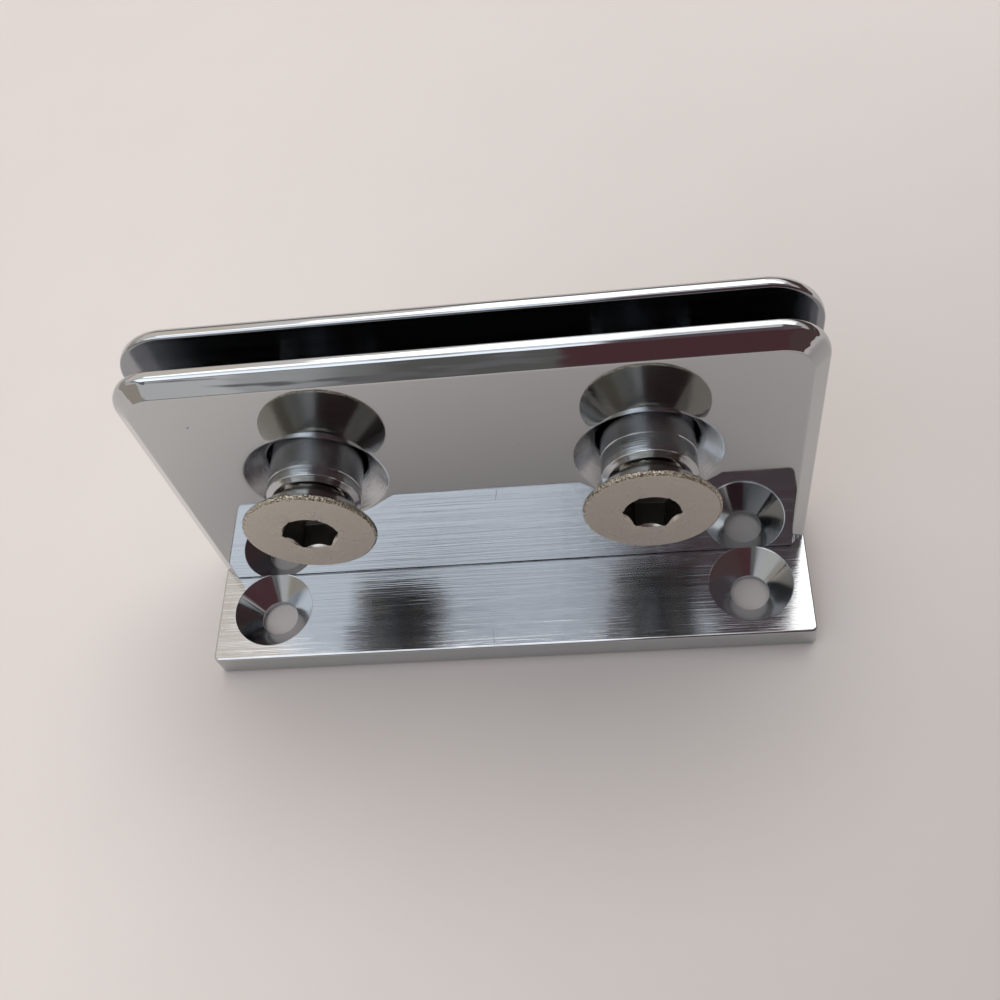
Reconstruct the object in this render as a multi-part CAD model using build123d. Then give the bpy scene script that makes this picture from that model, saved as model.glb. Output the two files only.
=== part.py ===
"""Glass door hinge of the fixed kind: an angle screwed to the wall and a loose clamp cover.

The bracket is an angle. Its short leg is screwed to the wall and its upright back plate stands
behind the glass. Two threaded posts are fixed in the back plate and pass through the glass and
the cover. A countersunk screw in each post draws the cover towards the back plate.

Frame, in millimetres: X along the width, Y from the front (-Y) to the back (+Y), Z away from
the wall. The origin is the centre of the leg's footprint, on the wall face.
"""
from build123d import *
import os
from math import radians, tan

os.makedirs("parts", exist_ok=True)

# Bracket: cast brass angle, machined and plated
plate_width = 80.0
bracket_height = 48.0
back_plate_thickness = 3.0
back_corner_radius = 6.8
wall_leg_depth = 22.0  # front edge to the back plate's outer face
wall_leg_thickness = 3.7
leg_corner_radius = 0.8
inner_corner_radius = 0.8

# Bevel ground along the top and both sides of each plate, on its outer face
bevel_width = 2.0  # measured across the face
bevel_depth = 1.7  # measured through the thickness

# Two countersunk holes in the leg, for the wall screws
wall_hole_pitch = 64.6
wall_hole_setback = 7.4  # from the leg's front edge
wall_hole_diameter = 5.0
wall_countersink_diameter = 10.9

# Clamp cover: loose plate that slides on the posts
cover_height = 43.3
cover_thickness = 2.8
cover_corner_radius = 5.8
cover_seam = 0.15  # between the cover's foot and the leg
slot_gap = 3.7  # between the cover and the back plate as drawn
cover_countersink_diameter = 17.5

# Threaded posts: turned brass, with a spigot brazed into a blind pocket of the back plate
post_pitch = 40.2
post_rise = 23.8  # axis above the leg's top face
post_diameter = 11.3
post_length = 10.0  # from the back plate's inner face
post_clearance = 0.6  # radial, to the hole in the cover
post_end_bevel_width = 0.7
post_end_bevel_depth = 0.5
post_mouth_diameter = 9.7
post_bore_depth = 8.8
post_scribe_depth = 0.12  # fine groove turned round the body
post_scribe_width = 0.2
post_scribe_setback = {"left": 1.1, "right": 2.4}  # from the bevelled end's outer edge
spigot_diameter = 7.0
spigot_length = 1.8
spigot_clearance = 0.02  # radial, filled by the braze

# Clamp screws: flat countersunk head with a hexagon socket
screw_head_diameter = 15.9
screw_head_chamfer = 0.35  # between the face and the head's edge
screw_head_land = 0.2  # cylindrical edge of the head, between the chamfer and the cone
screw_thread_diameter = 8.0
screw_thread_length = 7.5  # below the head's cone
screw_tip_chamfer = 0.8
screw_backed_out = 0.65  # from resting on the post's mouth, as drawn
thread_clearance = 0.05  # radial
socket_flats = 6.0
socket_depth = 3.2
socket_mouth_diameter = 6.6  # round chamfer that eases the key in
socket_mouth_depth = 0.3
socket_drill_depth = 0.7  # point of the drilled pilot below the socket
socket_turns = {"left": 1.0, "right": -6.0}  # degrees, where each screw happens to stop
countersink_angle = 90.0  # included, of every countersink and of the screw heads

# Places worked out from the sizes above
leg_front_y = -wall_leg_depth / 2
back_inner_y = wall_leg_depth / 2 - back_plate_thickness
cover_rear_y = back_inner_y - slot_gap
cover_front_y = cover_rear_y - cover_thickness
post_end_y = back_inner_y - post_length
post_axis_z = wall_leg_thickness + post_rise
cone_slope = tan(radians(countersink_angle / 2))  # radius lost for each millimetre of depth
post_hole_diameter = post_diameter + 2 * post_clearance
thread_bore_diameter = screw_thread_diameter + 2 * thread_clearance
sides = {"left": -1, "right": 1}


def post_places():
    """Axis of each post, at the level of Y = 0."""
    return {side: Location((sign * post_pitch / 2, 0, post_axis_z)) for side, sign in sides.items()}


def standing_plate(width, height, thickness, corner_radius):
    """Upright plate on Z = 0 with round top corners, bevelled on its -Y face, rear face at Y = 0."""
    outline = Rectangle(width, height, align=(Align.CENTER, Align.MIN))
    outline = fillet(outline.vertices().group_by(Axis.Y)[-1], corner_radius)
    plate = extrude(Plane.XZ * outline, thickness)
    face = plate.faces().sort_by(Axis.Y)[0]
    free_edges = face.edges().sort_by(Axis.Z)[1:]  # all but the foot
    return chamfer(free_edges, bevel_width, bevel_depth, reference=face)


def turned(profile):
    """Solid of revolution about Y from (radius, y) points."""
    return revolve(make_face(Polyline(profile, close=True)), Axis.Y)


def countersunk_hole(hole_diameter, rim_diameter, thickness):
    """Cutter along Y: a cone from its rim at Y = 0 down to a hole that runs on past the plate."""
    rim, hole = rim_diameter / 2, hole_diameter / 2
    rim_over = rim + cone_slope  # carried on past the face by a millimetre
    cone_depth = (rim - hole) / cone_slope
    through = max(thickness, cone_depth) + 1
    return turned([(0, -1), (rim_over, -1), (hole, cone_depth), (hole, through), (0, through)])


def make_bracket():
    """Back plate and wall leg in one piece, with the wall screw holes and the posts' pockets."""
    back = standing_plate(plate_width, bracket_height, back_plate_thickness, back_corner_radius)
    back = Location((0, back_inner_y, 0)) * back.rotate(Axis.Z, 180)
    leg_reach = back_inner_y - leg_front_y
    leg = Box(plate_width, leg_reach, wall_leg_thickness, align=(Align.CENTER, Align.MIN, Align.MIN))
    leg = Location((0, leg_front_y, 0)) * leg
    front_corners = leg.edges().filter_by(Axis.Z).group_by(Axis.Y)[0]
    leg = fillet(front_corners, leg_corner_radius)
    bracket = back + leg
    inner_corner = (
        bracket.edges()
        .filter_by(Axis.X)
        .sort_by_distance((0, back_inner_y, wall_leg_thickness))[0]
    )
    bracket = fillet(inner_corner, inner_corner_radius)

    wall_screw = countersunk_hole(wall_hole_diameter, wall_countersink_diameter, wall_leg_thickness)
    wall_screw = wall_screw.rotate(Axis.X, -90)  # the cutter now points down
    for sign in sides.values():
        place = (sign * wall_hole_pitch / 2, leg_front_y + wall_hole_setback, wall_leg_thickness)
        bracket -= Location(place) * wall_screw

    pocket_radius = spigot_diameter / 2 + spigot_clearance
    pocket = turned([
        (0, back_inner_y - 1),
        (pocket_radius, back_inner_y - 1),
        (pocket_radius, back_inner_y + spigot_length),
        (0, back_inner_y + spigot_length),
    ])
    for place in post_places().values():
        bracket -= place * pocket
    return bracket


def make_cover():
    """Clamp cover with a countersunk clearance hole for each post."""
    cover = standing_plate(plate_width, cover_height, cover_thickness, cover_corner_radius)
    cover = Location((0, cover_rear_y, wall_leg_thickness + cover_seam)) * cover
    hole = countersunk_hole(post_hole_diameter, cover_countersink_diameter, cover_thickness)
    for place in post_places().values():
        cover -= place * Location((0, cover_front_y, 0)) * hole
    return cover


def make_post(scribe_setback):
    """Turned post about Y: spigot, scribed body, bevelled end and threaded blind bore with a cone mouth."""
    body, bore = post_diameter / 2, thread_bore_diameter / 2
    mouth, spigot = post_mouth_diameter / 2, spigot_diameter / 2
    mouth_depth = (mouth - bore) / cone_slope
    scribe_y = post_end_y + post_end_bevel_depth + scribe_setback
    return turned([
        (0, back_inner_y + spigot_length),
        (spigot, back_inner_y + spigot_length),
        (spigot, back_inner_y),
        (body, back_inner_y),
        (body, scribe_y + post_scribe_width),
        (body - post_scribe_depth, scribe_y + post_scribe_width / 2),
        (body, scribe_y),
        (body, post_end_y + post_end_bevel_depth),
        (body - post_end_bevel_width, post_end_y),
        (mouth, post_end_y),
        (bore, post_end_y + mouth_depth),
        (bore, post_end_y + post_bore_depth),
        (0, post_end_y + post_bore_depth),
    ])


def make_screw(socket_turn):
    """Countersunk screw about Y, its head's cone backed out a little from the post's mouth."""
    head, thread = screw_head_diameter / 2, screw_thread_diameter / 2
    cone_y = post_end_y - (head - post_mouth_diameter / 2) / cone_slope - screw_backed_out
    face_y = cone_y - screw_head_land - screw_head_chamfer
    neck_y = cone_y + (head - thread) / cone_slope
    tip_y = neck_y + screw_thread_length
    blank = turned([
        (0, face_y),
        (head - screw_head_chamfer, face_y),
        (head, face_y + screw_head_chamfer),
        (head, cone_y),
        (thread, neck_y),
        (thread, tip_y - screw_tip_chamfer),
        (thread - screw_tip_chamfer, tip_y),
        (0, tip_y),
    ])
    flats = RegularPolygon(socket_flats / 2, 6, major_radius=False, rotation=socket_turn)
    socket = extrude(Plane.XZ.offset(-face_y) * flats, -socket_depth)
    floor_y = face_y + socket_depth
    drill_point = turned([(0, floor_y), (socket_flats / 2, floor_y), (0, floor_y + socket_drill_depth)])
    mouth = turned([
        (0, face_y),
        (socket_mouth_diameter / 2, face_y),
        (socket_mouth_diameter / 2 - socket_mouth_depth, face_y + socket_mouth_depth),
        (0, face_y + socket_mouth_depth),
    ])
    return blank - socket - drill_point - mouth


parts = {"bracket_body": make_bracket(), "cover_plate": make_cover()}
for side, place in post_places().items():
    parts[f"post_{side}"] = place * make_post(post_scribe_setback[side])
    parts[f"clamp_screw_{side}"] = place * make_screw(socket_turns[side])

for name, solid in parts.items():
    export_step(solid, f"parts/{name}.step")
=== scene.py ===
import bpy
import bmesh
from math import cos, pi, radians, sin
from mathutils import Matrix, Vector


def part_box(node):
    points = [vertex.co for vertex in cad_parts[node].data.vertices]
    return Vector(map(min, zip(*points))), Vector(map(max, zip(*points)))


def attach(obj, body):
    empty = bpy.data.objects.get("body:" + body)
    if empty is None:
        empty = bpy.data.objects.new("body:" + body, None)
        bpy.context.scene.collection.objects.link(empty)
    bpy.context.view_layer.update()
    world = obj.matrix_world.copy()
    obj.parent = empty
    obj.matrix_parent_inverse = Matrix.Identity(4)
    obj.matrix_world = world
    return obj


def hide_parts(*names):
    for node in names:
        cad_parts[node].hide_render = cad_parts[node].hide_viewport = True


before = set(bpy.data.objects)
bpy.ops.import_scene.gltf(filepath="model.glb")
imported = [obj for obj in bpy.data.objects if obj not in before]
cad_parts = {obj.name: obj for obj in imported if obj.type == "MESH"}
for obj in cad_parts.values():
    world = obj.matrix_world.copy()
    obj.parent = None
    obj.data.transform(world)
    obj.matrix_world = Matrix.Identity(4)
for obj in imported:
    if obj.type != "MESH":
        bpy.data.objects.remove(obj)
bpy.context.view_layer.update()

# Angle bracket. The wall leg and the back plate are one brass casting. The leg's top and the face that
# the glass meets are brushed lengthwise, the rest is polished, and all of it is chrome plated.
mm = 0.001
bracket_low, bracket_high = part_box("bracket_body")
half_width = bracket_high.x
leg_front = bracket_low.y
back_outer = bracket_high.y
back_thickness = 3 * mm
back_inner = back_outer - back_thickness
back_corner = 6.8 * mm
leg_top = 3.7 * mm
inner_fillet = 0.8 * mm
leg_corner = 0.8 * mm
bevel_width = 2 * mm
bevel_depth = 1.7 * mm
bevel_swell = 0.045 * mm  # where buffing rolled the bevel's upper edge
square_to_bevel = (0.65, 0.76)  # inwards from the rim, and out of the face
edge_crown = 0.1 * mm
wall_hole = Vector((32.3 * mm, leg_front + 7.4 * mm))  # on the right, the left one mirrors it
wall_hole_radius = 2.5 * mm
wall_seat_radius = 5.45 * mm
sharp_edge = radians(24)
land_steps = 3
corner_steps = 8
round_steps = 128
smooth_turns = [90 * step / 32 for step in range(33)]
mirror, brushed, seat_metal, slot_metal, edge_metal = range(5)  # numbers of the bracket's finishes


def plate_outline(top, corner, inset, side_heights, left_turns):
    """(x, z) up the left side, round both top corners and down the right side, some way in from the rim."""
    radius = corner - inset
    sides = []
    for side, turns in ((-1, left_turns), (1, smooth_turns)):
        run = [(side * (half_width - inset), z) for z in side_heights]
        for turn in turns:
            across = half_width - corner + radius * cos(radians(turn))
            run.append((side * across, top - corner + radius * sin(radians(turn))))
        sides.append(run)
    return sides[0] + sides[1][::-1]


def row_of(shell, points):
    return [shell.verts.new(point) for point in points]


def band(shell, row, next_row, finish, closed=False):
    """Strip of four-sided faces between two rows of the same length."""
    pairs = list(zip(row, next_row))
    if closed:
        pairs.append(pairs[0])
    for (a, b), (c, d) in zip(pairs, pairs[1:]):
        shell.faces.new((a, c, d, b)).material_index = finish


def pierced_face(shell, upper, lower, rings, finish):
    """Flat face with round holes, in two halves that meet on the line through the hole centres.
    Both borders run from left to right, and each ring starts at its right and turns over its top."""
    for border, turn in ((upper, 1), (lower, -1)):
        corners = list(border)
        for ring in reversed(rings):
            half = len(ring) // 2
            corners += [ring[turn * step] for step in range(half + 1)]
        shell.faces.new(corners).material_index = finish


def plate_rim(top, corner, inner_y, outer_y, side_heights, left_turns):
    """Rows from the inner face's edge, over the crowned rim and down the bevel, whose top edge is rolled."""
    toward = 1 if outer_y > inner_y else -1
    land = abs(outer_y - inner_y) - bevel_depth
    rows = []
    for step in range(land_steps + 1):
        share = step / land_steps
        rows.append((edge_crown * (2 * share - 1) ** 2, inner_y + toward * land * share))
    for share, swell in ((0.15, bevel_swell), (0.5, 0), (1, 0)):
        inset = edge_crown + (bevel_width - edge_crown) * share - square_to_bevel[0] * swell
        rows.append((inset, inner_y + toward * (land + bevel_depth * share + square_to_bevel[1] * swell)))
    return [
        [(x, y, z) for x, z in plate_outline(top, corner, inset, side_heights, left_turns)]
        for inset, y in rows
    ]


def made_plain(piece):
    """Bakes the piece's modifiers into its mesh."""
    view = bpy.context.evaluated_depsgraph_get()
    finished = piece.evaluated_get(view)
    mesh = bpy.data.meshes.new_from_object(finished, preserve_all_data_layers=True, depsgraph=view)
    piece.modifiers.clear()
    piece.data = mesh


def break_edges(piece, width, seat_share=1.0):
    """Rounds every sharp edge a little, as buffing does, and the rims of the turned seats by a share of it.
    Keeps flat faces flat."""
    shell = bmesh.new()
    shell.from_mesh(piece.data)
    share = shell.edges.layers.float.new("bevel_weight_edge")
    for edge in shell.edges:
        if edge.calc_face_angle(0) > sharp_edge:
            at_seat = any(face.material_index == seat_metal for face in edge.link_faces)
            edge[share] = seat_share if at_seat else 1.0
    shell.to_mesh(piece.data)
    shell.free()
    rounding = piece.modifiers.new("broken edges", "BEVEL")
    rounding.width = width
    rounding.segments = 3
    rounding.limit_method = "WEIGHT"
    rounding.use_clamp_overlap = False
    rounding.loop_slide = False
    flats = piece.modifiers.new("flat faces", "WEIGHTED_NORMAL")
    flats.weight = 50
    made_plain(piece)


def new_piece(name, shell, finishes):
    """Object at the origin from a closed shell, with its faces turned outwards."""
    bmesh.ops.recalc_face_normals(shell, faces=shell.faces)
    for face in shell.faces:
        face.smooth = True
    mesh = bpy.data.meshes.new(name)
    shell.to_mesh(mesh)
    shell.free()
    for finish in finishes:
        mesh.materials.append(finish)
    piece = bpy.data.objects.new(name, mesh)
    bpy.context.scene.collection.objects.link(piece)
    return piece


def add(tree, kind, inputs=(), **options):
    """Adds a node, sets its options, and sets or links its inputs."""
    node = tree.nodes.new(kind)
    for name, value in options.items():
        setattr(node, name, value)
    for name, value in dict(inputs).items():
        if isinstance(value, bpy.types.NodeSocket):
            tree.links.new(value, node.inputs[name])
        else:
            node.inputs[name].default_value = value
    return node


def calc(tree, operation, *values):
    return add(tree, "ShaderNodeMath", dict(enumerate(values)), operation=operation).outputs[0]


def ramp(tree, value, start, end, low=0.0, high=1.0, smooth=False):
    """Goes from low to high while the value goes from start to end, and stays level beyond."""
    inputs = {0: value, 1: start, 2: end, 3: low, 4: high}
    curve = "SMOOTHSTEP" if smooth else "LINEAR"
    return add(tree, "ShaderNodeMapRange", inputs, interpolation_type=curve).outputs[0]


def length_of(tree, u, v):
    """Length of a flat vector."""
    squares = calc(tree, "MULTIPLY", u, u), calc(tree, "MULTIPLY", v, v)
    return calc(tree, "SQRT", calc(tree, "ADD", *squares))


def noise_at(tree, spot, detail, roughness):
    inputs = {"Vector": spot, "Scale": 1.0, "Detail": detail, "Roughness": roughness}
    return add(tree, "ShaderNodeTexNoise", inputs).outputs["Fac"]


def new_metal(name, colour, roughness):
    """Bare metal shader, with its tree and Object coordinates for the surface marks."""
    material = bpy.data.materials.new(name)
    material.use_nodes = True
    tree = material.node_tree
    shader = tree.nodes["Principled BSDF"]
    shader.inputs["Base Color"].default_value = (*colour, 1)
    shader.inputs["Metallic"].default_value = 1
    shader.inputs["Roughness"].default_value = roughness
    place = add(tree, "ShaderNodeTexCoord").outputs["Object"]
    return material, tree, shader, place


def relief(tree, height, depth, below=None):
    """Bump of a real depth in metres, laid over another one."""
    inputs = {"Height": height, "Distance": depth, "Strength": 1.0}
    if below is not None:
        inputs["Normal"] = below
    return add(tree, "ShaderNodeBump", inputs).outputs[0]


def stretched(tree, place, scale, detail=3.0, roughness=0.6):
    """Noise with its own scale along X, Y and Z, per metre."""
    spot = add(tree, "ShaderNodeMapping", {"Vector": place, "Scale": scale}).outputs[0]
    return noise_at(tree, spot, detail, roughness)


def pits(tree, place, spacing, share, radius):
    """Few small round pits, as dust leaves under plating: 0 in a pit and 1 elsewhere."""
    cells = add(tree, "ShaderNodeTexVoronoi", {"Vector": place, "Scale": 1 / spacing})
    draw = add(tree, "ShaderNodeSeparateColor", {0: cells.outputs["Color"]}).outputs[0]
    chosen = calc(tree, "LESS_THAN", draw, share)
    near = ramp(tree, cells.outputs["Distance"], 0.0, radius / spacing, 1.0, 0.0, smooth=True)
    return calc(tree, "SUBTRACT", 1.0, calc(tree, "MULTIPLY", near, chosen))


def away_from(tree, place, axes, start, end):
    """Distance from a straight stroke that lies in the plane of two axes, 0 on the stroke itself."""
    spot = add(tree, "ShaderNodeSeparateXYZ", {0: place})
    u = calc(tree, "SUBTRACT", spot.outputs[axes[0]], start[0])
    v = calc(tree, "SUBTRACT", spot.outputs[axes[1]], start[1])
    du, dv = end[0] - start[0], end[1] - start[1]
    along = calc(tree, "ADD", calc(tree, "MULTIPLY", u, du), calc(tree, "MULTIPLY", v, dv))
    share = add(tree, "ShaderNodeClamp", {0: calc(tree, "DIVIDE", along, du * du + dv * dv)}).outputs[0]
    u = calc(tree, "SUBTRACT", u, calc(tree, "MULTIPLY", share, du))
    v = calc(tree, "SUBTRACT", v, calc(tree, "MULTIPLY", share, dv))
    return length_of(tree, u, v)


def nicked(tree, place, axes, strokes, normal):
    """Scratches and nicks as (start, end, width, depth) in millimetres, cut into a flat face."""
    for start, end, width, depth in strokes:
        start, end = [value * mm for value in start], [value * mm for value in end]
        away = away_from(tree, place, axes, start, end)
        edge = ramp(tree, away, 0.0, width * mm, smooth=True)
        normal = relief(tree, edge, depth * mm, normal)
    return normal


def drawn_lines(tree, place):
    """Waves that run along an edge, level on the top and upright on the sides, as a belt leaves them."""
    level = stretched(tree, place, (55, 420, 420), detail=2.0)
    upright = stretched(tree, place, (420, 420, 55), detail=2.0)
    spot = add(tree, "ShaderNodeSeparateXYZ", {0: place})
    outwards = calc(tree, "ABSOLUTE", spot.outputs[0])
    side = calc(tree, "GREATER_THAN", outwards, half_width - bevel_width - 0.2 * mm)
    return add(tree, "ShaderNodeMix", {0: side, 2: level, 3: upright}).outputs[0]


def polished_chrome(name, strokes=(), drawn=0):
    """Buffed to a mirror, with faint swells, a little orange peel and a few specks under the plating."""
    material, tree, shader, place = new_metal(name, (0.53, 0.545, 0.555), 0.035)
    swell = stretched(tree, place, (70, 70, 70), detail=1.0)
    peel = stretched(tree, place, (900, 900, 900), detail=2.0)
    dust = pits(tree, place, 2.6 * mm, 0.05, 0.10 * mm)
    smear = stretched(tree, place, (110, 160, 130), detail=4.0)
    dull = ramp(tree, smear, 0.35, 0.75, 0.02, 0.07)
    tree.links.new(dull, shader.inputs["Roughness"])
    normal = relief(tree, swell, 0.012 * mm)
    normal = relief(tree, peel, 0.00012 * mm, normal)
    normal = relief(tree, dust, 0.02 * mm, normal)
    if drawn:
        normal = relief(tree, drawn_lines(tree, place), drawn, normal)
    tree.links.new(nicked(tree, place, (0, 2), strokes, normal), shader.inputs["Normal"])
    return material


def brushed_chrome(name, colour, smoothest, dullest, line_depth, strokes=()):
    """Fine lines along X from the belt, under the plating."""
    material, tree, shader, place = new_metal(name, colour, smoothest)
    broad = stretched(tree, place, (22, 800, 800), detail=2.0)
    fine = stretched(tree, place, (60, 4000, 4000), detail=3.0)
    normal = relief(tree, broad, line_depth)
    normal = relief(tree, fine, line_depth, normal)
    tree.links.new(nicked(tree, place, (0, 1), strokes, normal), shader.inputs["Normal"])
    dull = ramp(tree, broad, 0.3, 0.7, smoothest, dullest)
    tree.links.new(dull, shader.inputs["Roughness"])
    shader.inputs["Anisotropic"].default_value = 0.92
    across = add(tree, "ShaderNodeCombineXYZ", {0: 0.0, 1: 0.7, 2: 0.7}).outputs[0]
    tree.links.new(across, shader.inputs["Tangent"])
    return material


def turned_chrome(name, centre, along, ring_depth):
    """Rings of the cutting tool round two centres, one each side of the middle, under the plating."""
    material, tree, shader, place = new_metal(name, (0.50, 0.515, 0.53), 0.10)
    spot = add(tree, "ShaderNodeSeparateXYZ", {0: place})
    across = calc(tree, "SUBTRACT", calc(tree, "ABSOLUTE", spot.outputs[0]), centre[0])
    up = calc(tree, "SUBTRACT", spot.outputs[2 if along == "Y" else 1], centre[1])
    out = length_of(tree, across, up)
    deep = calc(tree, "SUBTRACT", out, spot.outputs[1 if along == "Y" else 2])
    turn = calc(tree, "ARCTAN2", up, across)
    travel = calc(tree, "MULTIPLY", deep, 5000.0)
    drift = calc(tree, "MULTIPLY", turn, 0.25)
    path = add(tree, "ShaderNodeCombineXYZ", {0: travel, 1: drift}).outputs[0]
    rings = noise_at(tree, path, 4.0, 0.7)
    tree.links.new(relief(tree, rings, ring_depth), shader.inputs["Normal"])
    shader.inputs["Anisotropic"].default_value = 0.8
    directions = {"Y": {0: 0.0, 1: 1.0, 2: 0.0}, "Z": {0: 0.0, 1: 0.0, 2: 1.0}}
    axis = add(tree, "ShaderNodeCombineXYZ", directions[along]).outputs[0]
    tree.links.new(axis, shader.inputs["Tangent"])
    return material


mirror_finish = polished_chrome("mirror chrome")
edge_finish = polished_chrome("ground chrome of the edges", drawn=0.07 * mm)
brushed_finish = brushed_chrome("brushed chrome", (0.55, 0.56, 0.575), 0.08, 0.13, 0.026 * mm, [
    ((-1.6, -8.8), (-1.45, -10.3), 0.11, 0.007), ((-4.9, -4.5), (-4.8, -4.5), 0.1, 0.02)])
# The slot's faces are brushed like the leg, which is real. Their colour is much darker than the other
# chrome, and that darkness is painted shade for the deep, narrow slot between the back plate and the cover.
slot_finish_with_painted_shade = brushed_chrome("brushed chrome of the slot, darkened as painted shade", (0.34, 0.355, 0.38), 0.09, 0.15, 0.008 * mm)
wall_countersink_finish = turned_chrome("turned chrome of the wall screw seats", wall_hole, "Z", 0.005 * mm)

shell = bmesh.new()
fillet_top = leg_top + inner_fillet
rim = plate_rim(bracket_high.z, back_corner, back_inner, back_outer, [0, fillet_top], smooth_turns)
rows = [row_of(shell, points[1:-1]) for points in rim[:land_steps]]
rows += [row_of(shell, points) for points in rim[land_steps:]]
for row, next_row in zip(rows[:land_steps - 1], rows[1:land_steps]):
    band(shell, row, next_row, edge_metal)
band(shell, rows[land_steps - 1], rows[land_steps][1:-1], edge_metal)
for row, next_row in zip(rows[land_steps:], rows[land_steps + 1:]):
    band(shell, row, next_row, edge_metal)
shell.faces.new(rows[0]).material_index = slot_metal
shell.faces.new(rows[-1]).material_index = mirror


def leg_border(z):
    """Row round the leg's free edge, from beside the left wall hole to beside the right one."""
    left = [(-half_width, wall_hole.y, z)]
    for step in range(corner_steps + 1):
        turn = radians(90 * step / corner_steps)
        left.append((leg_corner * (1 - cos(turn)) - half_width, leg_front + leg_corner * (1 - sin(turn)), z))
    return left + [(-x, y, z) for x, y, z in reversed(left)]


top_border = row_of(shell, leg_border(leg_top))
foot_border = row_of(shell, leg_border(0))
band(shell, top_border, foot_border, mirror)
curves = []
for side, plate_end in ((-1, 0), (1, -1)):
    curve = [rows[0][plate_end]]
    for step in range(1, corner_steps + 1):
        turn = radians(90 * step / corner_steps)
        x = side * (half_width - edge_crown * (1 - step / corner_steps))
        y = back_inner - inner_fillet * (1 - cos(turn))
        curve.append(shell.verts.new((x, y, fillet_top - inner_fillet * sin(turn))))
    curves.append(curve)
    end_face = [row[plate_end] for row in rows[land_steps - 1::-1]] + curve[1:]
    end_face += [top_border[plate_end], foot_border[plate_end]]
    end_face += [rows[land_steps][plate_end], rows[land_steps][1 if side < 0 else -2]]
    shell.faces.new(end_face).material_index = mirror
for a, b in zip(zip(*curves), list(zip(*curves))[1:]):
    shell.faces.new((a[0], a[1], b[1], b[0])).material_index = brushed


def ring_points(x, y, z, radius, plane):
    """Circle of points from its right side over its top, standing in XZ or lying in XY."""
    points = []
    for step in range(round_steps):
        turn = 2 * pi * step / round_steps
        u, v = radius * cos(turn), radius * sin(turn)
        points.append((x + u, y, z + v) if plane == "XZ" else (x + u, y + v, z))
    return points


seat_foot = leg_top - (wall_seat_radius - wall_hole_radius)
top_rings, foot_rings = [], []
for side in (-1, 1):
    rings = []
    for radius, z in ((wall_seat_radius, leg_top), (wall_hole_radius, seat_foot), (wall_hole_radius, 0)):
        rings.append(row_of(shell, ring_points(side * wall_hole.x, wall_hole.y, z, radius, "XY")))
    band(shell, rings[0], rings[1], seat_metal, closed=True)
    band(shell, rings[1], rings[2], seat_metal, closed=True)
    top_rings.append(rings[0])
    foot_rings.append(rings[2])
top_upper = [top_border[0], curves[0][-1], curves[1][-1], top_border[-1]]
pierced_face(shell, top_upper, top_border, top_rings, brushed)
plate_foot = [row[0] for row in rows[land_steps:]] + [row[-1] for row in reversed(rows[land_steps:])]
pierced_face(shell, [foot_border[0], *plate_foot, foot_border[-1]], foot_border, foot_rings, mirror)

bracket_finishes = [mirror_finish, brushed_finish, wall_countersink_finish, slot_finish_with_painted_shade, edge_finish]
bracket = new_piece("bracket", shell, bracket_finishes)
break_edges(bracket, 0.33 * mm, seat_share=0.25)
for point in bracket.data.vertices:  # keeps the rounded ends inside the plate's width
    point.co.x = min(max(point.co.x, -half_width), half_width)
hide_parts("bracket_body")
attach(bracket, "bracket")

# Threaded posts. Each is turned from brass bar, bored and tapped from its open end, chrome plated,
# and fixed in the back plate. They pass through the glass and carry the cover.
post_low, post_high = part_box("post_right")
post_axis = Vector(((post_low.x + post_high.x) / 2, (post_low.z + post_high.z) / 2))
post_end = post_low.y
body_radius = 5.65 * mm
scribe_depth = 0.12 * mm
tool_feed = 0.1 * mm  # between the marks that the lathe left


def tree_of(name, inputs):
    """Empty geometry tree with named inputs. Returns it with its input and output nodes."""
    tree = bpy.data.node_groups.new(name, "GeometryNodeTree")
    tree.interface.new_socket("Geometry", in_out="INPUT", socket_type="NodeSocketGeometry")
    for label, kind in inputs:
        tree.interface.new_socket(label, in_out="INPUT", socket_type="NodeSocket" + kind)
    tree.interface.new_socket("Geometry", in_out="OUTPUT", socket_type="NodeSocketGeometry")
    return tree, tree.nodes.new("NodeGroupInput"), tree.nodes.new("NodeGroupOutput")


def grown(name, shell, tree, values, finishes):
    """Runs the tree on a shell and returns the result as a plain mesh."""
    piece = new_piece(name, shell, finishes)
    growth = piece.modifiers.new(tree.name, "NODES")
    growth.node_group = tree
    for item in tree.interface.items_tree:
        if item.in_out == "INPUT" and item.name in values:
            growth[item.identifier] = values[item.name]
    made_plain(piece)
    return piece


def wound_grid(tree, rows, steps):
    """Grid to be wrapped round an axis: the grid, each point's share along it, and its angle."""
    counts = {"Size X": 1.0, "Size Y": 1.0, "Vertices X": rows, "Vertices Y": steps}
    grid = add(tree, "GeometryNodeMeshGrid", counts)
    spot = add(tree, "ShaderNodeSeparateXYZ", {0: add(tree, "GeometryNodeInputPosition").outputs[0]})
    share = calc(tree, "ADD", spot.outputs[0], 0.5)
    angle = calc(tree, "MULTIPLY", calc(tree, "ADD", spot.outputs[1], 0.5), 2 * pi)
    return grid.outputs[0], share, angle


def wrapped(tree, grid, source, radius, along, angle):
    """Wraps the grid round the axis that the tree's inputs give, at its own radius."""
    sideways = calc(tree, "MULTIPLY", radius, calc(tree, "COSINE", angle))
    sideways = calc(tree, "ADD", source.outputs["Axis X"], sideways)
    upwards = calc(tree, "MULTIPLY", radius, calc(tree, "SINE", angle))
    upwards = calc(tree, "ADD", source.outputs["Axis Z"], upwards)
    place = add(tree, "ShaderNodeCombineXYZ", {0: sideways, 1: along, 2: upwards}).outputs[0]
    return add(tree, "GeometryNodeSetPosition", {"Geometry": grid, "Position": place}).outputs[0]


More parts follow.
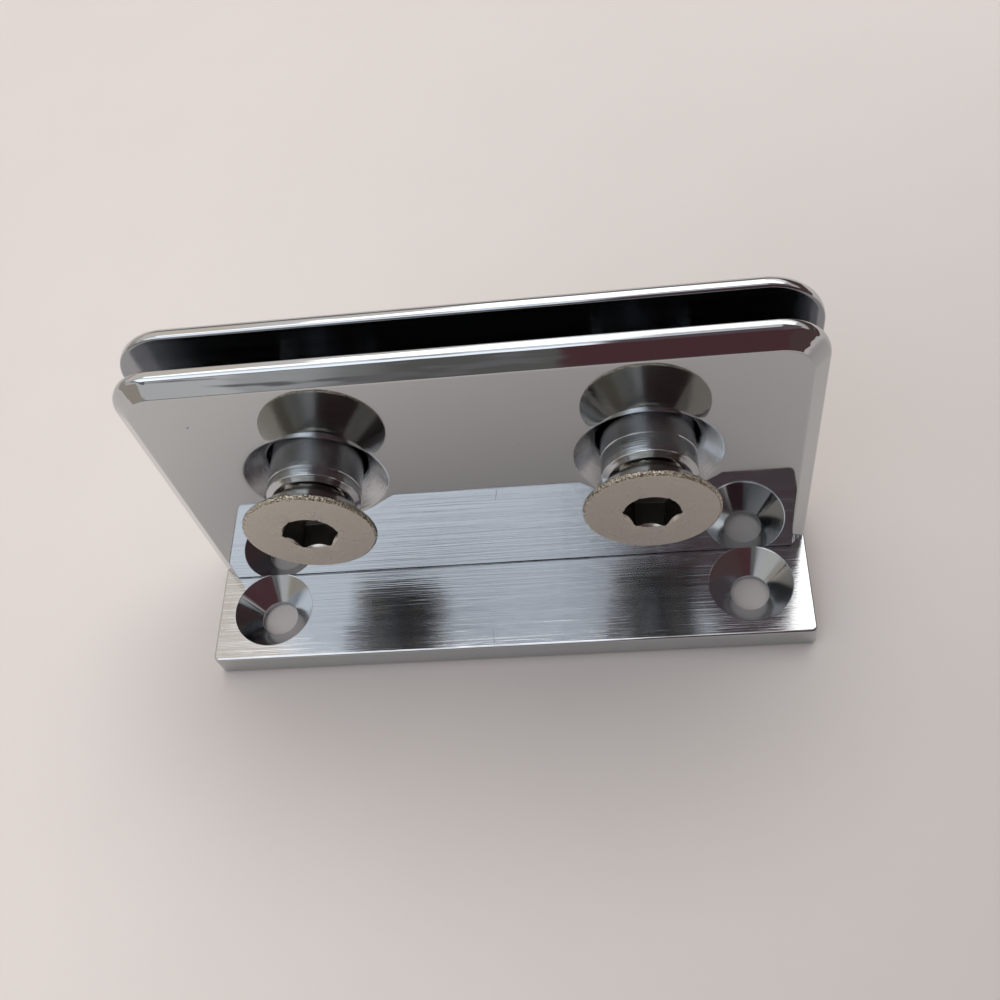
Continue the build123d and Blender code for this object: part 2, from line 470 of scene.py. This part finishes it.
def lathe_tree():
    """Turns a profile into a closed turned piece. The profile is points at (radius, distance along the
    axis), from the foot over the outside to the bottom of the bore."""
    tree, source, result = tree_of("lathe", [
        ("Axis X", "Float"), ("Axis Z", "Float"), ("Steps", "Int"), ("Tool Marks", "Float"), ("Seed", "Int"),
        ("Finish", "Material")])
    size = add(tree, "GeometryNodeAttributeDomainSize", {"Geometry": source.outputs["Geometry"]})
    count = size.outputs["Point Count"]
    grid, share, angle = wound_grid(tree, count, source.outputs["Steps"])
    index = calc(tree, "ROUND", calc(tree, "MULTIPLY", share, calc(tree, "SUBTRACT", count, 1.0)))
    profile = add(tree, "GeometryNodeSampleIndex", data_type="FLOAT_VECTOR")
    tree.links.new(source.outputs["Geometry"], profile.inputs["Geometry"])
    tree.links.new(add(tree, "GeometryNodeInputPosition").outputs[0], profile.inputs["Value"])
    tree.links.new(index, profile.inputs["Index"])
    point = add(tree, "ShaderNodeSeparateXYZ", {0: profile.outputs[0]})
    draw = {"ID": index, "Seed": source.outputs["Seed"]}
    mark = add(tree, "FunctionNodeRandomValue", draw, data_type="FLOAT").outputs[1]
    mark = calc(tree, "MULTIPLY", mark, source.outputs["Tool Marks"])
    off_axis = calc(tree, "GREATER_THAN", point.outputs[0], 0.0001)
    radius = calc(tree, "SUBTRACT", point.outputs[0], calc(tree, "MULTIPLY", mark, off_axis))
    turned = wrapped(tree, grid, source, radius, point.outputs[1], angle)
    closed = add(tree, "GeometryNodeMergeByDistance", {"Geometry": turned, "Distance": 0.000001}).outputs[0]
    outward = add(tree, "GeometryNodeFlipFaces", {"Mesh": closed}).outputs[0]  # it was inside out
    real = add(tree, "GeometryNodeRealizeInstances", {"Geometry": outward}).outputs[0]
    finish = {"Geometry": real, "Material": source.outputs["Finish"]}
    dressed = add(tree, "GeometryNodeSetMaterial", finish).outputs[0]
    tree.links.new(dressed, result.inputs[0])
    return tree


def post_profile(scribed):
    """(radius, y) points from the foot, along the body with its scribed groove, over the bevelled end and
    down the tapped bore."""
    points = [(0, back_inner), (3 * mm, back_inner), (body_radius, back_inner)]
    y = back_inner - tool_feed
    while y > post_end + 0.62 * mm:
        behind = (y - post_end) / mm - 0.5
        groove = scribe_depth if abs(behind - scribed - 0.1) < 0.06 else 0
        points.append((body_radius - groove, y))
        y -= tool_feed
    bevel = [(5.65, 0.55), (5.62, 0.47), (5.56, 0.41), (5.3, 0.24), (5.05, 0.06), (4.97, 0.01), (4.88, 0)]
    mouth = [(4.82, 0.04), (4.45, 0.4), (4.07, 0.79), (4.05, 0.88)]
    bore = [(4.05, 8.7), (4.03, 8.78), (3.95, 8.8), (0, 8.8)]
    return points + [(radius * mm, post_end + depth * mm) for radius, depth in bevel + mouth + bore]


post_finish = turned_chrome("turned chrome of the posts", post_axis, "Y", 0.032 * mm)
lathe = lathe_tree()
for side, sign, scribed, seed in (("left", -1, 1.1, 3), ("right", 1, 2.4, 8)):
    shell = bmesh.new()
    row_of(shell, [(radius, y, 0) for radius, y in post_profile(scribed)])
    post = grown("post." + side, shell, lathe,
                 {"Axis X": sign * post_axis.x, "Axis Z": post_axis.y, "Steps": round_steps + 1,
                  "Tool Marks": 0.004 * mm, "Seed": seed, "Finish": post_finish}, [post_finish])
    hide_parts("post_" + side)
    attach(post, "bracket")

# Clamp cover. A loose brass plate, polished to a mirror on its face and bevels and brushed behind,
# chrome plated, with a countersunk clearance hole round each post. It slides on the posts.
cover_low, cover_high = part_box("cover_plate")
cover_corner = 5.8 * mm
seat_radius = 8.75 * mm
clear_radius = 6.25 * mm
roll_off = 1.0 * mm  # buffing dished the face this far round each countersink
roll_depth = 0.03 * mm
roll_shares = (1, 0.8, 0.6, 0.45, 0.3, 0)
cover_rear, cover_rim = 1, 3  # numbers of two finishes, besides mirror and seat_metal

cover_seat_finish = turned_chrome("turned chrome of the cover's screw seats", post_axis, "Y", 0.036 * mm)
cover_finish = polished_chrome("mirror chrome of the cover", [
    ((-31.85, 39.5), (-31.5, 39.9), 0.15, 0.05), ((-35, 45), (-34.7, 44.2), 0.11, 0.01),
    ((-34.7, 44.2), (-34.1, 43.8), 0.11, 0.01), ((-37.4, 28.7), (-36.5, 29), 0.09, 0.004),
    ((-31.4, 24.1), (-31.3, 24), 0.12, 0.02), ((-26.6, 47.3), (-26.5, 47.2), 0.11, 0.02)])
shell = bmesh.new()
ground_turns = [3 * step for step in range(21)] + [62, 64, 78, 80, 82, 86, 90]  # with a flat past 64
side_heights = [cover_low.z, post_axis.y]
rim = plate_rim(cover_high.z, cover_corner, cover_high.y, cover_low.y, side_heights, ground_turns)
rows = [row_of(shell, points) for points in rim]
for row, next_row in zip(rows, rows[1:]):
    band(shell, row, next_row, cover_rim)
shell.faces.new([row[0] for row in rows] + [row[-1] for row in reversed(rows)]).material_index = mirror
face_rings, rear_rings = [], []
for side in (-1, 1):
    seat = []
    for share in roll_shares:
        seat.append((seat_radius + roll_off * share, cover_low.y + roll_depth * (1 - share) ** 2))
    cone_end = cover_low.y + seat_radius - clear_radius
    seat += [(clear_radius, cone_end), (clear_radius, cover_high.y)]
    rings = []
    for radius, y in seat:
        rings.append(row_of(shell, ring_points(side * post_axis.x, y, post_axis.y, radius, "XZ")))
    for number, (ring, next_ring) in enumerate(zip(rings, rings[1:]), start=1):
        finish = mirror if number < len(roll_shares) else seat_metal
        band(shell, ring, next_ring, finish, closed=True)
    face_rings.append(rings[0])
    rear_rings.append(rings[-1])
for row, rings, finish in ((rows[-1], face_rings, mirror), (rows[0], rear_rings, cover_rear)):
    pierced_face(shell, row[1:-1], [row[1], row[0], row[-1], row[-2]], rings, finish)
cover = new_piece("cover", shell, [cover_finish, slot_finish_with_painted_shade, cover_seat_finish, edge_finish])
break_edges(cover, 0.18 * mm)
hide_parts("cover_plate")
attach(cover, "cover")

# Clamp screws. Steel countersunk screws with a hexagon socket and a coarse M8 thread, satin nickel
# plated. They screw into the posts and draw the cover towards the back plate.
screw_low, screw_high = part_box("clamp_screw_right")
head_radius = 7.95 * mm
head_face = screw_low.y
rim_round = 0.35 * mm
cone_start = head_face + rim_round + 0.2 * mm
neck_radius = 4 * mm
thread_root = 3.3 * mm
neck = cone_start + head_radius - neck_radius
tip = screw_high.y
socket_flats = 6 * mm
socket_depth = 3.2 * mm
drilled_depth = 3.8 * mm
socket_mouth = 3.3 * mm  # radius of the round countersink that opens the hexagon
side_steps = 20
screw_steps = 6 * side_steps
thread_rows = 90
face, cone, socket, rough_rim = range(4)  # numbers of the screw's finishes


def socket_row(x, y, z, turn, mouth=0, slope=0):
    """Row round the hexagon from its right-hand corner. Its sides may be opened out to a round mouth, or
    sunk by a slope, as deep as the cone of that mouth runs down them."""
    points = []
    for step in range(screw_steps):
        angle = 60 * step / side_steps
        reach = socket_flats / 2 / cos(radians(angle % 60 - 30))
        opening = max(mouth - reach, 0)
        sunk = slope * opening
        reach += opening if slope == 0 else 0
        a = radians(angle + turn)
        points.append((x + reach * cos(a), y + sunk, z + reach * sin(a)))
    return points


def thread_tree():
    """Adds a helical thread to a shell: a grid wrapped round the axis, its radius set by the pitch.
    It starts on the shell's last row, and its own last row closes the tip."""
    tree, source, result = tree_of("screw thread", [
        ("Axis X", "Float"), ("Axis Z", "Float"), ("Start", "Float"), ("Length", "Float"),
        ("Root Radius", "Float"), ("Depth", "Float"), ("Pitch", "Float"), ("Run Out", "Float"),
        ("Steps", "Int"), ("Rows", "Int"), ("Finish", "Material")])
    grid, share, angle = wound_grid(tree, source.outputs["Rows"], source.outputs["Steps"])
    along = calc(tree, "MULTIPLY", share, source.outputs["Length"])
    turns = calc(tree, "DIVIDE", along, source.outputs["Pitch"])
    phase = calc(tree, "FRACT", calc(tree, "SUBTRACT", turns, calc(tree, "DIVIDE", angle, 2 * pi)))
    ridge = calc(tree, "SUBTRACT", calc(tree, "MULTIPLY", phase, 2.0), 1.0)
    ridge = calc(tree, "SUBTRACT", 1.0, calc(tree, "ABSOLUTE", ridge))
    ridge = ramp(tree, ridge, 0.14, 0.88)
    near_end = calc(tree, "MINIMUM", along, calc(tree, "SUBTRACT", source.outputs["Length"], along))
    fade = ramp(tree, near_end, 0.0, source.outputs["Run Out"])
    height = calc(tree, "MULTIPLY", calc(tree, "MULTIPLY", ridge, fade), source.outputs["Depth"])
    radius = calc(tree, "ADD", source.outputs["Root Radius"], height)
    radius = calc(tree, "MULTIPLY", radius, calc(tree, "LESS_THAN", share, 0.999))
    sheet = wrapped(tree, grid, source, radius, calc(tree, "ADD", along, source.outputs["Start"]), angle)
    finish = {"Geometry": sheet, "Material": source.outputs["Finish"]}
    dressed = add(tree, "GeometryNodeSetMaterial", finish).outputs[0]
    whole = add(tree, "GeometryNodeJoinGeometry")
    tree.links.new(dressed, whole.inputs[0])
    tree.links.new(source.outputs["Geometry"], whole.inputs[0])
    reach = {"Geometry": whole.outputs[0], "Distance": 0.000002}
    closed = add(tree, "GeometryNodeMergeByDistance", reach).outputs[0]
    real = add(tree, "GeometryNodeRealizeInstances", {"Geometry": closed}).outputs[0]
    tree.links.new(real, result.inputs[0])
    return tree


def turned_nickel(name):
    """Cone and thread: turned, then nickel plated, darker than the face."""
    material, tree, shader, place = new_metal(name, (0.36, 0.355, 0.325), 0.2)
    spot = add(tree, "ShaderNodeSeparateXYZ", {0: place})
    path = add(tree, "ShaderNodeCombineXYZ", {0: calc(tree, "MULTIPLY", spot.outputs[1], 6000.0)}).outputs[0]
    rings = noise_at(tree, path, 3.0, 0.6)
    tree.links.new(relief(tree, rings, 0.005 * mm), shader.inputs["Normal"])
    return material


def socket_nickel(name):
    """The broached socket, where plating hardly reaches."""
    material, tree, shader, place = new_metal(name, (0.20, 0.195, 0.175), 0.32)
    scores = stretched(tree, place, (5200, 500, 5200), detail=3.0)
    tree.links.new(relief(tree, scores, 0.012 * mm), shader.inputs["Normal"])
    return material


def satin_nickel(name):
    """Blasted and nickel plated: flat and satin, a little warmer than chrome, with a few small pits."""
    material, tree, shader, place = new_metal(name, (0.515, 0.485, 0.435), 0.27)
    grain = stretched(tree, place, (9000, 9000, 9000), detail=3.0)
    patch = stretched(tree, place, (420, 420, 420), detail=3.0)
    holes = pits(tree, place, 1.7 * mm, 0.05, 0.14 * mm)
    normal = relief(tree, grain, 0.0016 * mm)
    normal = relief(tree, holes, 0.05 * mm, normal)
    strokes = [((-20.6, 35.2), (-20.3, 34.9), 0.1, 0.04), ((-20.3, 34.9), (-20.0, 35.1), 0.1, 0.04),
               ((-21.7, 22.0), (-21.4, 22.4), 0.1, 0.04), ((-21.4, 22.4), (-21.1, 22.1), 0.09, 0.03)]
    tree.links.new(nicked(tree, place, (0, 2), strokes, normal), shader.inputs["Normal"])
    dull = ramp(tree, patch, 0.3, 0.7, 0.22, 0.33)
    tree.links.new(dull, shader.inputs["Roughness"])
    return material


def blended(tree, share, first, second):
    return add(tree, "ShaderNodeMix", {0: share, 6: first, 7: second}, data_type="RGBA").outputs[2]


def forged_rim(name):
    """The head's edge as it was forged, lumpy under the nickel and yellower where that wore thin."""
    material, tree, shader, place = new_metal(name, (0.40, 0.35, 0.27), 0.16)
    lumps = stretched(tree, place, (4600, 4600, 4600), detail=3.0, roughness=0.75)
    tree.links.new(relief(tree, lumps, 0.15 * mm), shader.inputs["Normal"])
    worn = ramp(tree, lumps, 0.42, 0.58)
    colour = blended(tree, worn, (0.11, 0.095, 0.07, 1), (0.68, 0.62, 0.51, 1))
    tree.links.new(colour, shader.inputs["Base Color"])
    return material


screw_finish = satin_nickel("satin nickel")
rim_finish = forged_rim("rough nickel of the rim")
cone_finish = turned_nickel("turned nickel")
socket_finish = socket_nickel("dark nickel of the socket")
thread = thread_tree()
for side, sign, turn in (("left", -1, 1), ("right", 1, -6)):
    shell = bmesh.new()
    x, z = sign * post_axis.x, post_axis.y

    def circle(radius, y, turned=turn):
        angles = [2 * pi * step / screw_steps + radians(turned) for step in range(screw_steps)]
        return [(x + radius * cos(angle), y, z + radius * sin(angle)) for angle in angles]

    drilled = ((0.4 * mm, head_face + drilled_depth), (2.85 * mm, head_face + socket_depth + 0.02 * mm))
    rows = [row_of(shell, circle(radius, y)) for radius, y in drilled]
    rows.append(row_of(shell, socket_row(x, head_face + socket_depth, z, turn)))
    rows.append(row_of(shell, socket_row(x, head_face + 0.02 * mm, z, turn, socket_mouth, 1.2)))
    rows.append(row_of(shell, socket_row(x, head_face, z, turn, socket_mouth)))
    outside = [(5.5 * mm, head_face), (head_radius - rim_round, head_face)]
    outside += [(head_radius - 0.12 * mm, head_face + 0.12 * mm), (head_radius, head_face + rim_round)]
    outside += [(head_radius, cone_start), (neck_radius, neck)]
    rows += [row_of(shell, circle(radius, y)) for radius, y in outside]
    rows.append(row_of(shell, circle(thread_root, neck, 0)))  # the thread's own first row lies here
    band_finishes = 3 * [socket] + 3 * [face] + 3 * [rough_rim] + 2 * [cone]
    for row, next_row, finish in zip(rows, rows[1:], band_finishes):
        band(shell, row, next_row, finish, closed=True)
    shell.faces.new(rows[0]).material_index = socket
    finishes = [screw_finish, cone_finish, socket_finish, rim_finish]
    head = new_piece("clamp_screw." + side, shell, finishes)
    break_edges(head, 0.05 * mm)
    shell = bmesh.new()
    shell.from_mesh(head.data)
    bpy.data.objects.remove(head)
    screw = grown("clamp_screw." + side, shell, thread,
                  {"Axis X": x, "Axis Z": z, "Start": neck, "Length": tip - neck, "Root Radius": thread_root,
                   "Depth": 0.68 * mm, "Pitch": 1.25 * mm, "Run Out": 0.9 * mm, "Steps": screw_steps + 1,
                   "Rows": thread_rows, "Finish": cone_finish}, finishes)
    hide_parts("clamp_screw_" + side)
    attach(screw, "screw_" + side)

# Floor: a large table top under the object, painted pale and faintly mottled. Painted shade darkens its
# colour: a soft painted shadow round the hinge and in front of it, and a painted falloff of the light
# towards its right. Both fade out further from the hinge.
floor_drop = 0.1 * mm
floor_shell = bmesh.new()
bmesh.ops.create_grid(floor_shell, x_segments=8, y_segments=8, size=3)
floor_finish = bpy.data.materials.new("pale paint")
floor_finish.use_nodes = True
tree = floor_finish.node_tree
shader = tree.nodes["Principled BSDF"]
shader.inputs["Roughness"].default_value = 0.6
shader.inputs["Specular IOR Level"].default_value = 0.25
place = add(tree, "ShaderNodeTexCoord").outputs["Object"]
mottle = stretched(tree, place, (55, 55, 55), detail=4.0)
paint = blended(tree, mottle, (0.785, 0.732, 0.698, 1), (0.815, 0.762, 0.728, 1))
spot = add(tree, "ShaderNodeSeparateXYZ", {0: place})
# Painted falloff of the light: darker to the right and to the front, and a little darker over the right half
rightward = ramp(tree, spot.outputs[0], -0.06, 0.09)
forward = ramp(tree, spot.outputs[1], 0.12, -0.08)
middle = ramp(tree, spot.outputs[0], -0.06, 0.02, 0.0, 0.05)
across = calc(tree, "MULTIPLY", spot.outputs[0], 18.0)
ahead = calc(tree, "MULTIPLY", calc(tree, "ADD", spot.outputs[1], 0.012), 28.0)
# Painted shadow: a soft dark patch round the hinge and in front of it
near = ramp(tree, length_of(tree, across, ahead), 1.15, 0.45, 0.0, 0.07, smooth=True)
painted_shade = calc(tree, "MULTIPLY_ADD", calc(tree, "MULTIPLY", rightward, forward), 0.35, middle)
reach = add(tree, "ShaderNodeVectorMath", {0: place}, operation="LENGTH").outputs["Value"]
close_by = ramp(tree, reach, 0.45, 0.14, smooth=True)
painted_shade = calc(tree, "MULTIPLY", calc(tree, "ADD", painted_shade, near), close_by)
paint = blended(tree, painted_shade, paint, (0, 0, 0, 1))
tree.links.new(paint, shader.inputs["Base Color"])
floor = new_piece("floor", floor_shell, [floor_finish])
floor.location.z = -floor_drop

# Light: a quiet room round the hinge, as soft fields of colour by the direction of view. A window
# stands behind and to the left, the room is bright in front from above, and darker low down.
room = bpy.data.worlds.new("room")
bpy.context.scene.world = room
room.use_nodes = True
tree = room.node_tree
tree.nodes.clear()
look = add(tree, "ShaderNodeSeparateXYZ", {0: add(tree, "ShaderNodeTexCoord").outputs["Generated"]})


def right(start, end):
    return ramp(tree, look.outputs[0], start, end, smooth=True)


def rear(start, end):
    return ramp(tree, look.outputs[1], start, end, smooth=True)


def up(start, end):
    return ramp(tree, look.outputs[2], start, end, smooth=True)


def where(*shares):
    """Field in which all the shares hold."""
    whole = shares[0]
    for share in shares[1:]:
        whole = calc(tree, "MULTIPLY", whole, share)
    return whole


def laid_over(colour, share, r, g, b):
    return blended(tree, share, colour, (r, g, b, 1))


front = rear(-0.1, -0.25)
back = rear(0.12, 0.22)
walls = blended(tree, up(0.3, 0.75), (0.56, 0.525, 0.50, 1), (0.64, 0.65, 0.68, 1))
ceiling = where(up(0.88, 0.91), rear(-0.12, -0.05), right(0.03, -0.03))

# Behind: a dark cupboard, the wall and its lit part, and the two panes of the window
cupboard = where(back, right(-0.62, -0.45), up(0.46, 0.38), up(0.02, 0.1))
behind = laid_over(walls, cupboard, 0.22, 0.195, 0.185)
wall = where(back, right(0.62, 0.52), up(0.34, 0.42))
behind = laid_over(behind, wall, 0.88, 0.83, 0.79)
behind = laid_over(behind, where(wall, right(-0.2, -0.08)), 1.3, 1.28, 1.27)
far_left = right(-0.30, -0.33)
behind = laid_over(behind, where(back, far_left, up(0.34, 0.42)), 0.84, 0.755, 0.67)
pane = where(back, right(-0.17, -0.12), right(0.62, 0.50), up(0.65, 0.70), up(0.93, 0.89))
behind = laid_over(behind, pane, 3.1, 3.05, 3.0)
pane = where(back, right(-0.285, -0.255), right(-0.12, -0.17), up(0.71, 0.75), up(0.89, 0.85))
behind = laid_over(behind, pane, 3.1, 3.05, 3.0)
behind = laid_over(behind, ceiling, 2.3, 2.28, 2.26)
ahead = laid_over(walls, ceiling, 2.3, 2.28, 2.26)

# In front, low down: pale on the left, and darker towards the floor and the middle
low_front = where(front, up(0.66, 0.6))
ahead = laid_over(ahead, low_front, 0.65, 0.64, 0.645)
ahead = laid_over(ahead, where(low_front, right(-0.342, -0.323)), 0.475, 0.47, 0.475)
ahead = laid_over(ahead, where(low_front, up(0.35, 0.27)), 0.27, 0.275, 0.26)
ahead = laid_over(ahead, where(low_front, right(-0.55, -0.65), rear(-0.35, -0.5)), 0.64, 0.645, 0.60)
ahead = laid_over(ahead, where(low_front, right(-0.55, -0.65), up(0.35, 0.33)), 0.42, 0.37, 0.315)
ahead = laid_over(ahead, where(low_front, right(-0.31, -0.19)), 0.14, 0.135, 0.13)
streak = where(front, right(-0.06, -0.1), up(0.498, 0.525), up(0.585, 0.56))
ahead = laid_over(ahead, streak, 0.18, 0.175, 0.18)

# In front, high up: bright, brightest on the far left
high_front = where(front, up(0.57, 0.62))
ahead = laid_over(ahead, high_front, 1.60, 1.68, 1.80)
ahead = laid_over(ahead, where(high_front, up(0.81, 0.90)), 0.92, 0.99, 1.09)
ahead = laid_over(ahead, where(high_front, right(-0.37, -0.40), rear(-0.55, -0.62)), 2.0, 2.05, 2.1)

# In front, to the right: dark red cloth, grey near the floor, and grey things above
cloth = where(low_front, right(-0.072, -0.058), up(-0.12, -0.02))
ahead = laid_over(ahead, cloth, 0.10, 0.044, 0.05)
ahead = laid_over(ahead, where(cloth, right(0.12, 0.06), up(0.36, 0.28)), 0.16, 0.16, 0.15)
shelf = where(high_front, right(-0.235, -0.215), right(-0.145, -0.165), up(0.868, 0.885))
ahead = laid_over(ahead, shelf, 0.5, 0.54, 0.58)
curtain = where(high_front, right(-0.05, -0.01), up(0.97, 0.93))
ahead = laid_over(ahead, curtain, 0.14, 0.10, 0.108)

# At the sides: dark high on the right, and low down warm on the left and dark on the right. A ray needs
# only the half of the room that it goes to.
high_right = where(right(0.18, 0.26), rear(0.16, 0.08), up(0.6, 0.7))
low_left = where(right(-0.84, -0.9), up(0.44, 0.36), up(0.0, 0.08))
low_right = where(right(0.3, 0.45), up(0.5, 0.4), up(-0.05, 0.02))
halves = []
for colour in (behind, ahead):
    colour = laid_over(colour, high_right, 0.15, 0.12, 0.125)
    colour = laid_over(colour, low_left, 0.43, 0.39, 0.34)
    colour = laid_over(colour, low_right, 0.10, 0.062, 0.06)
    halves.append(add(tree, "ShaderNodeBackground", {"Color": colour, "Strength": 1.0}).outputs[0])
facing = calc(tree, "LESS_THAN", look.outputs[1], -0.1)
light = add(tree, "ShaderNodeMixShader", {0: facing, 1: halves[0], 2: halves[1]})
backdrop = add(tree, "ShaderNodeBackground", {"Color": (0.78, 0.74, 0.72, 1), "Strength": 1.0})
seen = add(tree, "ShaderNodeLightPath").outputs["Is Camera Ray"]
sky = add(tree, "ShaderNodeMixShader", {0: seen, 1: light.outputs[0], 2: backdrop.outputs[0]})
add(tree, "ShaderNodeOutputWorld", {0: sky.outputs[0]})

# Camera: above the front, looking down at the cover and the wall leg.
lens = bpy.data.cameras.new("camera")
lens.lens = 41.908
lens.sensor_width = 36
lens.clip_start = 0.005
camera = bpy.data.objects.new("camera", lens)
camera.location = (0.01970, -0.07502, 0.14200)
camera.rotation_euler = (radians(31.881), radians(8.132), radians(0.637))
bpy.context.scene.collection.objects.link(camera)
bpy.context.scene.camera = camera
bpy.context.scene.view_settings.view_transform = "Standard"
